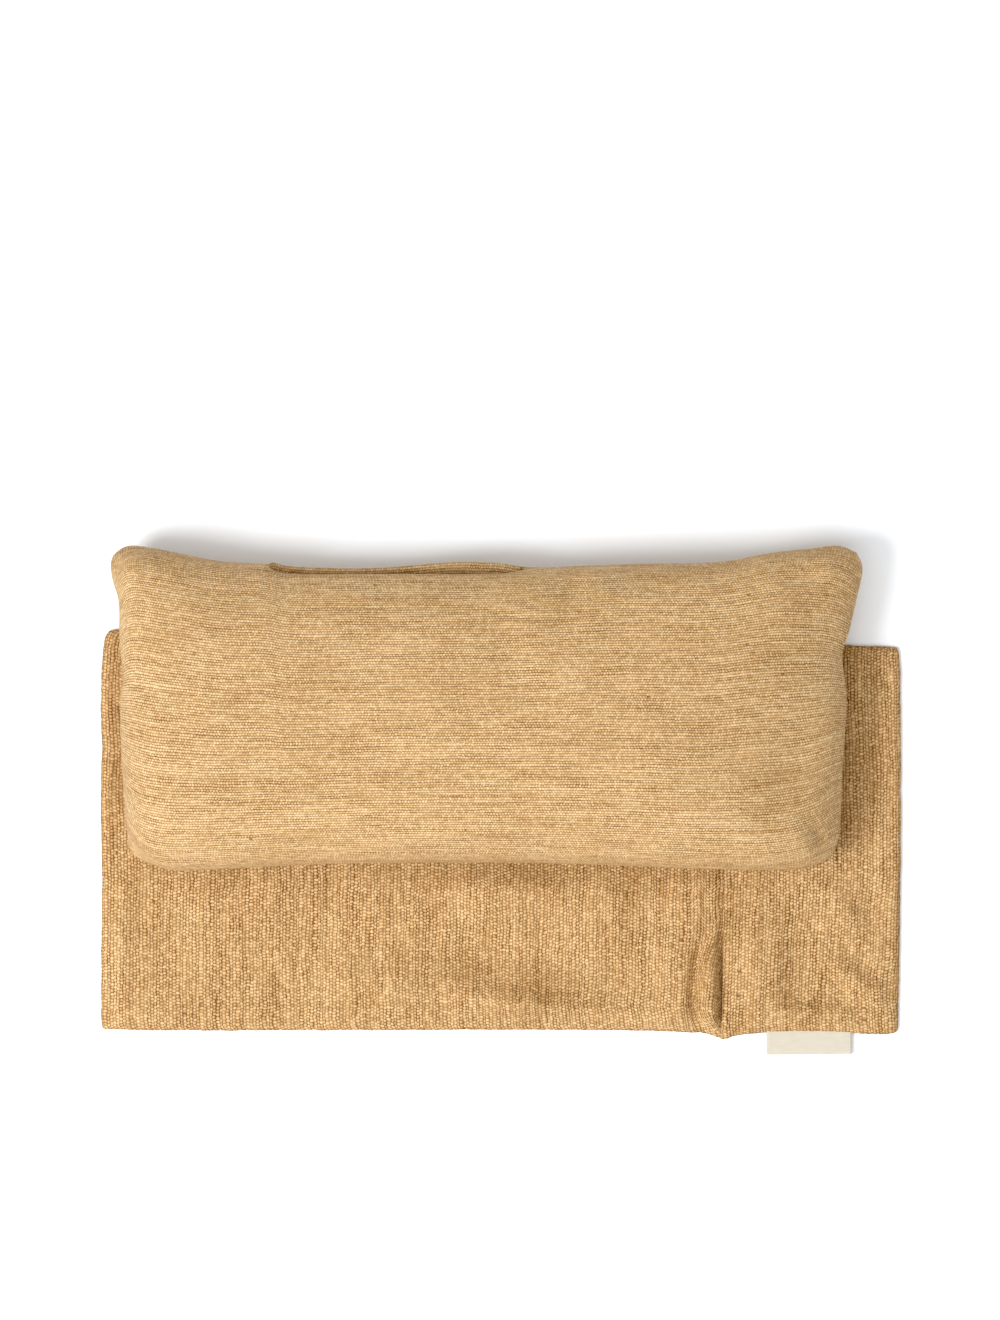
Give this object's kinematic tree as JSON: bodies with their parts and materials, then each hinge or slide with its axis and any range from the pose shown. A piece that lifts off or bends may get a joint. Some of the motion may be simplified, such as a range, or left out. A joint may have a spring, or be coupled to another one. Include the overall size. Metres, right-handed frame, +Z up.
{
  "type": "eye pillow with removable cover",
  "caption": "Plump seed-filled eye pillow of raw silk lying on its own flat, empty envelope cover, with a blank woven label in the cover's seam.",
  "frame": {"origin": "middle of the whole object's footprint, on the table that the cover lies on", "axes": "+X along the pillow, from its left ear to its right ear; +Y across it, from the cover's labelled edge towards the pillow's seamed back edge; +Z up from the table"},
  "size_m": [0.24, 0.1526, 0.0387],
  "materials": {
    "pillow_silk": "satin",
    "cover_silk": "satin",
    "silk_thread": "satin",
    "label_tape": "satin",
    "linseed": "satin",
    "lavender": "matte"
  },
  "bodies": {
    "cover": {"cover_back_panel": "cover_silk", "cover_underlap_panel": "cover_silk", "cover_flap_panel": "cover_silk", "cover_seam_thread": "silk_thread", "underlap_hem_thread": "silk_thread", "flap_hem_thread": "silk_thread"},
    "pillow": {"pillow_front_panel": "pillow_silk", "pillow_back_panel": "pillow_silk", "linseed_filling": "linseed", "lavender_flowers": "lavender", "pillow_seam_thread": "silk_thread", "gap_closing_thread": "silk_thread"},
    "label": {"woven_label": "label_tape"}
  },
  "joints": [
    {"name": "pillow_lift", "type": "slide", "parent": "cover", "child": "pillow", "axis": [0, 0, 1], "range_m": [0, 0.12]},
    {"name": "label_turn", "type": "hinge", "parent": "cover", "child": "label", "pos_m": [0.09235, -0.0706, 0.0008], "axis": [-1, 0, 0], "range_deg": [0, 110]}
  ]
}
